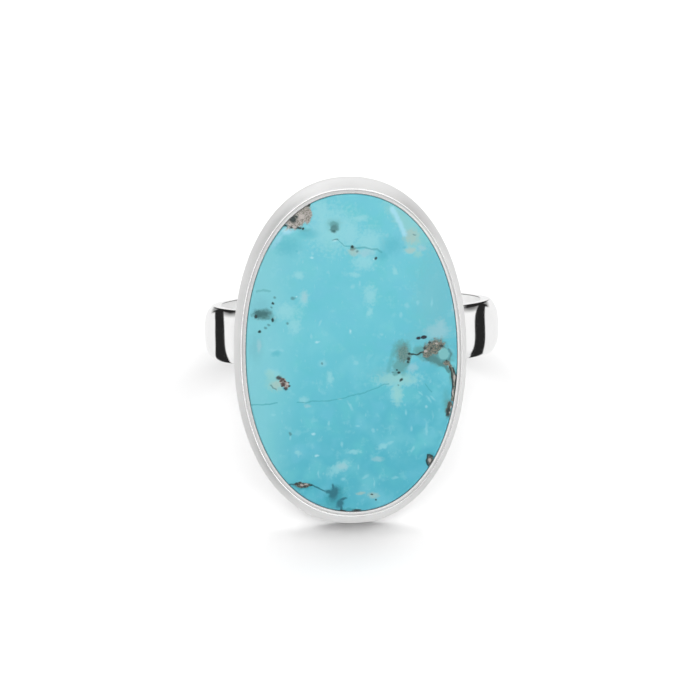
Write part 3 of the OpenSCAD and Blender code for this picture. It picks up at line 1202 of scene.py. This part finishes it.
class Tent:
    """The white tent round the ring, as the world's light.

    Where a look meets the tent is known by number sockets. bearing is the angle from the front,
    the same on both sides, height the angle above the ring's own level and off_front the angle
    from the front in any direction, all in degrees. across runs from -1 on the left to 1 on the
    right. raised and turned are height and bearing less right_shift on the right, where the
    frames hang higher and further back.

    The fields are such angles, apart from right_half, wall_turn and hoop_fade, which are places
    across, and the edges, which are shares of an oval's size. Where a part fades in over a pair,
    the first is where it starts and the second where it is full. The two heights of the sill and
    of the brim belong to their two bearings. up and down are how far an oval reaches above and
    below its middle, on the left and on the right where they are pairs.
    """

    turn_left_deg: float = 5.5
    right_shift: float = 3.0
    right_half: Span = (-0.1, 0.1)
    upper_half: Span = (-3.0, -2.0)

    wall_turn: Span = (-0.4, 0.4)
    back_wall: Span = (85.0, 112.0)
    front_wall: Span = (46.0, 26.0)
    corner_bearing: float = 138.0
    corner_height: float = 30.0
    corner_half_width: float = 32.0
    corner_half_height: float = 14.0
    corner_edge: Span = (0.1, 1.0)
    roof_height: Span = (35.0, 42.0)
    roof_bearing: Span = (172.0, 150.0)
    roof_front: Span = (50.0, 90.0)
    zenith_height: Span = (60.0, 75.0)
    ground_height: Span = (-24.0, -42.0)
    ground_bearing: Span = (120.0, 60.0)

    hoop_front: Span = (80.0, 86.0)
    hoop_back: Span = (100.0, 94.0)
    hoop_fade: Span = (0.6, 0.3)

    frame_bearing: float = 143.0
    frame_height: float = -2.5
    frame_half_width: float = 27.5
    frame_up: float = 26.5
    frame_down: Span = (27.3, 31.0)
    frame_edge: Span = (1.015, 0.985)
    gap_bearing: Span = (156.0, 164.0)
    gap_height: Span = (-7.0, -11.0)
    panel_bearing: Span = (151.0, 157.0)
    panel_bottom: Span = (3.0, 6.0)
    panel_top: Span = (32.0, 26.0)
    sill_bearing: Span = (134.0, 166.0)
    sill_height: Span = (27.5, 8.0)
    arch_bearing: Span = (126.0, 135.0)
    arch_bottom: Span = (-1.0, 2.0)
    arch_top: Span = (37.0, 33.0)

    lobe_bearing: float = 154.0
    lobe_height: float = -1.5
    lobe_half_width: float = 22.0
    lobe_up: Span = (16.5, 18.5)
    lobe_down: Span = (16.1, 22.0)
    lobe_edge: Span = (1.03, 0.97)
    brim_bearing: Span = (141.0, 152.0)
    brim_height: Span = (20.0, 9.0)
    brim_fade: Span = (4.0, -2.0)
    behind_bearing: Span = (155.0, 158.0)
    behind_height: Span = (10.0, 8.5)

    def __init__(self, bench: NodeBench, levels: TentLevels) -> None:
        """Works out where each look meets the tent.

        Args:
            bench: Where the nodes are made.
            levels: Brightness of the tent's parts.
        """
        self.bench, self.levels = bench, levels
        front, right, up = sight(self.turn_left_deg)
        way = bench.node("ShaderNodeTexCoord").outputs["Generated"]
        ahead = bench.dot(way, front)
        self.across = bench.dot(way, right)
        side = bench.math("ABSOLUTE", self.across)
        self.bearing = bench.math("DEGREES", bench.math("ARCTAN2", side, ahead))
        self.height = bench.math("DEGREES", bench.math("ARCSINE", bench.dot(way, up)))
        self.off_front = bench.math("DEGREES", bench.math("ARCCOSINE", ahead))
        self.on_right = bench.ramp(self.across, *self.right_half)
        self.above = bench.ramp(self.height, *self.upper_half, smooth=False)
        shift = bench.math("MULTIPLY", self.on_right, self.right_shift)
        self.raised = bench.math("SUBTRACT", self.height, shift)
        self.turned = bench.math("SUBTRACT", self.bearing, shift)

    def over(self, level: Socket, mask: Socket, value: object) -> Socket:
        """The level, with another one laid over it where the mask is 1."""
        return self.bench.mix(mask, level, value)

    def product(self, *values: Socket) -> Socket:
        """The product of values, which for masks is 1 where all of them are."""
        return reduce(lambda a, b: self.bench.math("MULTIPLY", a, b), values)

    def oval(self, off: Socket, middle: float, half_a: float, half_h: object) -> Socket:
        """Distance from an oval's middle, 1 on the oval itself.

        Args:
            off: Bearing from the oval's middle.
            middle: Height of the oval's middle.
            half_a: Half its width.
            half_h: Half its height.

        Returns:
            sqrt(a^2 + b^2), where a is off as a share of the half width and b the height from
            the middle as a share of the half height.
        """
        bench = self.bench
        a = bench.math("DIVIDE", off, half_a)
        b = bench.math("DIVIDE", bench.math("SUBTRACT", self.height, middle), half_h)
        return bench.math("SQRT", bench.math("ADD", self.product(a, a), self.product(b, b)))

    def by_side(self, left: float, right: float) -> Socket:
        """A value that differs between left and right."""
        return self.bench.ramp(self.on_right, 0.0, 1.0, left, right)

    def short_of(self, bearing: float) -> Socket:
        """How far short of a bearing a look is, 0 where it is past it."""
        return self.bench.math("MINIMUM", self.bench.math("SUBTRACT", self.bearing, bearing), 0.0)

    def walls(self) -> Socket:
        """The bare tent: walls, dark upper corners, roof and ground.

        Returns:
            Its brightness.
        """
        bench, levels = self.bench, self.levels
        level = bench.ramp(self.across, *self.wall_turn, levels.left_wall, levels.right_wall)
        level = self.over(level, bench.ramp(self.bearing, *self.back_wall), levels.back_wall)
        level = self.over(level, bench.ramp(self.bearing, *self.front_wall), levels.front_wall)
        corner = self.oval(self.short_of(self.corner_bearing), self.corner_height,
                           self.corner_half_width, self.corner_half_height)
        level = bench.math("MULTIPLY", level, bench.ramp(corner, *self.corner_edge, levels.corner, 1.0))
        roof = self.product(bench.ramp(self.bearing, *self.roof_bearing, *levels.roof),
                            bench.ramp(self.bearing, *self.roof_front, *levels.roof_in_front))
        level = self.over(level, bench.ramp(self.height, *self.roof_height), roof)
        level = self.over(level, bench.ramp(self.height, *self.zenith_height), levels.zenith)
        ground = bench.ramp(self.bearing, *self.ground_bearing, *levels.ground)
        return self.over(level, bench.ramp(self.height, *self.ground_height), ground)

    def hoop(self, level: Socket) -> Socket:
        """Adds the bright hoop round the ring, which the bezel's facet mirrors as a white line.

        Args:
            level: Brightness so far.

        Returns:
            The brightness with this part in it.
        """
        bench, levels = self.bench, self.levels
        hoop = self.product(bench.ramp(self.off_front, *self.hoop_front),
                            bench.ramp(self.off_front, *self.hoop_back))
        share = bench.ramp(self.across, *self.hoop_fade, levels.hoop_on_right, 1.0)
        return self.over(level, self.product(hoop, share), levels.hoop)

    def frames(self, level: Socket) -> Socket:
        """Adds the dark frame round the lobes, open low at the back, its arch and the grey panel.

        Args:
            level: Brightness so far.

        Returns:
            The brightness with this part in it.
        """
        bench, levels = self.bench, self.levels
        off, middle, half = self.short_of(self.frame_bearing), self.frame_height, self.frame_half_width
        upper = bench.ramp(self.oval(off, middle, half, self.frame_up), *self.frame_edge)
        lower = bench.ramp(self.oval(off, middle, half, self.by_side(*self.frame_down)), *self.frame_edge)
        frame = bench.mix(self.above, lower, upper)
        gap = self.product(bench.ramp(self.bearing, *self.gap_bearing),
                           bench.ramp(self.height, *self.gap_height))
        frame = bench.math("SUBTRACT", frame, gap, clamp=True)
        panel = self.product(bench.ramp(self.turned, *self.panel_bearing),
                             bench.ramp(self.raised, *self.panel_bottom))
        below_top = self.product(panel, bench.ramp(self.raised, *self.panel_top))
        level = self.over(level, below_top, levels.grey_panel)
        frame = bench.math("SUBTRACT", frame, panel, clamp=True)
        sill = bench.ramp(self.bearing, *self.sill_bearing, *self.sill_height, smooth=False)
        arch = self.product(bench.ramp(self.bearing, *self.arch_bearing), self.product(
            bench.ramp(bench.math("SUBTRACT", self.raised, sill), *self.arch_bottom),
            bench.ramp(self.height, *self.arch_top)))
        return self.over(level, bench.math("MAXIMUM", frame, arch), levels.frame)

    def lobes(self, level: Socket) -> Socket:
        """Adds the two bright lobes inside the frame, and the bright stretch between them.

        Args:
            level: Brightness so far.

        Returns:
            The brightness with this part in it.
        """
        bench, levels = self.bench, self.levels
        off, middle = bench.math("SUBTRACT", self.bearing, self.lobe_bearing), self.lobe_height
        upper, lower = (
            bench.ramp(self.oval(off, middle, self.lobe_half_width, self.by_side(*sides)), *self.lobe_edge)
            for sides in (self.lobe_up, self.lobe_down))
        brim = bench.ramp(self.bearing, *self.brim_bearing, *self.brim_height, smooth=False)
        below_brim = bench.ramp(bench.math("SUBTRACT", self.raised, brim), *self.brim_fade)
        lobe = self.product(bench.mix(self.above, lower, upper), below_brim)
        from_middle = bench.math("ABSOLUTE", bench.math("SUBTRACT", self.height, middle))
        behind = self.product(bench.ramp(self.bearing, *self.behind_bearing),
                              bench.ramp(from_middle, *self.behind_height))
        return self.over(level, bench.math("MAXIMUM", lobe, behind), levels.lobe)

    def light(self, level: Socket) -> Socket:
        """Dims the tent for light that has met a dull surface, and whitens it for the camera.

        Args:
            level: Brightness of the finished tent.

        Returns:
            The brightness that each kind of light sees.
        """
        rays = self.bench.node("ShaderNodeLightPath").outputs
        bounced = self.bench.math("MINIMUM", rays["Diffuse Depth"], 1.0)
        level = self.over(level, bounced, self.levels.bounce)
        return self.over(level, rays["Is Camera Ray"], self.levels.backdrop)


@dataclass(frozen=True)
class Lamp:
    """A soft light that aims at the ring and isn't mirrored in it.

    azimuth is 0 in front, 90 on the right and 180 behind, and elevation stands on the floor,
    both in degrees. The distance and the sizes are in metres and the power in watts.
    """

    name: str
    azimuth: float
    elevation: float
    away: float
    width: float
    height: float
    watts: float
    aim: Vec3 = (0.0, -0.008, 0.004)

    def hang(self) -> None:
        """Hangs the light in the scene."""
        a, e = math.radians(self.azimuth), math.radians(self.elevation)
        way = Vector((math.sin(a) * math.cos(e), -math.cos(a) * math.cos(e), math.sin(e)))
        data = bpy.data.lights.new(self.name, "AREA")
        data.shape = "RECTANGLE"
        data.size, data.size_y = self.width, self.height
        data.energy = self.watts
        lamp = bpy.data.objects.new(self.name, data)
        lamp.location = Vector(self.aim) + way * self.away
        lamp.rotation_mode = "QUATERNION"
        lamp.rotation_quaternion = way.to_track_quat("Z", "Y")
        lamp.visible_glossy = False
        lamp.visible_camera = False
        bpy.context.scene.collection.objects.link(lamp)


LAMPS = (
    Lamp("front_light", 0.0, 53.0, 0.8, 1.0, 0.6, 4.0),
    Lamp("low_front_light", 0.0, 38.0, 0.8, 1.0, 0.4, 1.2),
    Lamp("left_light", 270.0, 52.0, 0.6, 0.3, 0.3, 0.75),
    Lamp("right_light", 90.0, 43.0, 0.6, 0.3, 0.3, 1.0),
    Lamp("back_light", 180.0, 39.0, 0.6, 0.45, 0.2, 1.4),
    Lamp("back_left_light", 225.0, 38.0, 0.6, 0.3, 0.3, 0.9),
    Lamp("back_right_light", 135.0, 38.0, 0.6, 0.3, 0.3, 1.25),
)


@dataclass
class Studio:
    """The pale floor, the tent and the lamps round the ring, and the camera.

    The camera looks at aim, a place in the ring's frame in millimetres, from view_left_deg to
    the left of the ring's front and view_up_deg above it, from the distance in millimetres.
    """

    view_left_deg: float = 2.5
    view_up_deg: float = 4.96
    roll_deg: float = 1.45
    distance: float = 290.7
    lens: float = 227.3
    sensor: float = 36.0
    clip: Span = (0.01, 20.0)
    aim: Vec3 = (-0.55, -9.2, 0.0)
    floor_half: float = 3.0
    floor_shade: float = 0.94
    levels: TentLevels = field(default_factory=TentLevels)

    def camera(self) -> None:
        """Sets up the camera at the photograph's angle."""
        front, right, up = (np.array(way) for way in sight(self.view_left_deg))
        e, roll = math.radians(self.view_up_deg), math.radians(self.roll_deg)
        back = front * math.cos(e) + up * math.sin(e)
        top = up * math.cos(e) - front * math.sin(e)
        data = bpy.data.cameras.new("camera")
        data.lens, data.sensor_width = self.lens, self.sensor
        data.clip_start, data.clip_end = self.clip
        cam = bpy.data.objects.new("camera", data)
        bpy.context.scene.collection.objects.link(cam)
        place = np.eye(4)
        place[:3, 0] = right * math.cos(roll) - top * math.sin(roll)
        place[:3, 1] = top * math.cos(roll) + right * math.sin(roll)
        place[:3, 2] = back
        place[:3, 3] = POSE.place(np.array(self.aim)) + back * self.distance * MM
        cam.matrix_world = Matrix(place.tolist())
        bpy.context.scene.camera = cam

    def floor(self) -> None:
        """Lays the pale floor, which the metal doesn't mirror."""
        side = self.floor_half
        mesh = bpy.data.meshes.new("floor")
        corners = [(-side, -side, 0), (side, -side, 0), (side, side, 0), (-side, side, 0)]
        mesh.from_pydata(corners, [], [(0, 1, 2, 3)])
        made = bpy.data.materials.new("pale_floor")
        made.use_nodes = True
        bench = NodeBench(made.node_tree)
        shade = (self.floor_shade, self.floor_shade, self.floor_shade, 1.0)
        shader = bench.node("ShaderNodeBsdfPrincipled", {
            "Base Color": shade, "Roughness": 0.9, "Specular IOR Level": 0.0})
        bench.node("ShaderNodeOutputMaterial", {0: shader.outputs[0]})
        mesh.materials.append(made)
        floor = bpy.data.objects.new("floor", mesh)
        floor.visible_glossy = False
        bpy.context.scene.collection.objects.link(floor)

    def tent(self) -> None:
        """Puts up the tent as the world, which only mirrored light sees."""
        world = bpy.data.worlds.new("tent")
        bpy.context.scene.world = world
        world.use_nodes = True
        bench = NodeBench(world.node_tree)
        tent = Tent(bench, self.levels)
        level = tent.light(tent.lobes(tent.frames(tent.hoop(tent.walls()))))
        glow = bench.node("ShaderNodeBackground", {"Color": (1.0, 1.0, 1.0, 1.0), "Strength": level})
        bench.node("ShaderNodeOutputWorld", {0: glow.outputs[0]})
        world.cycles_visibility.diffuse = False

    def build(self) -> None:
        """Builds floor, tent, lights and camera."""
        self.camera()
        self.floor()
        self.tent()
        for lamp in LAMPS:
            lamp.hang()
        bpy.context.scene.view_settings.view_transform = "Standard"
        LOG.info("studio built with %d lamps", len(LAMPS))


def main() -> None:
    """Builds the ring's pieces in order, then the studio."""
    logging.basicConfig(level=logging.INFO, format="%(name)s: %(message)s")
    Band().build()
    Bezel().build()
    Stone().build()
    Studio().build()


if __name__ == "__main__":
    main()
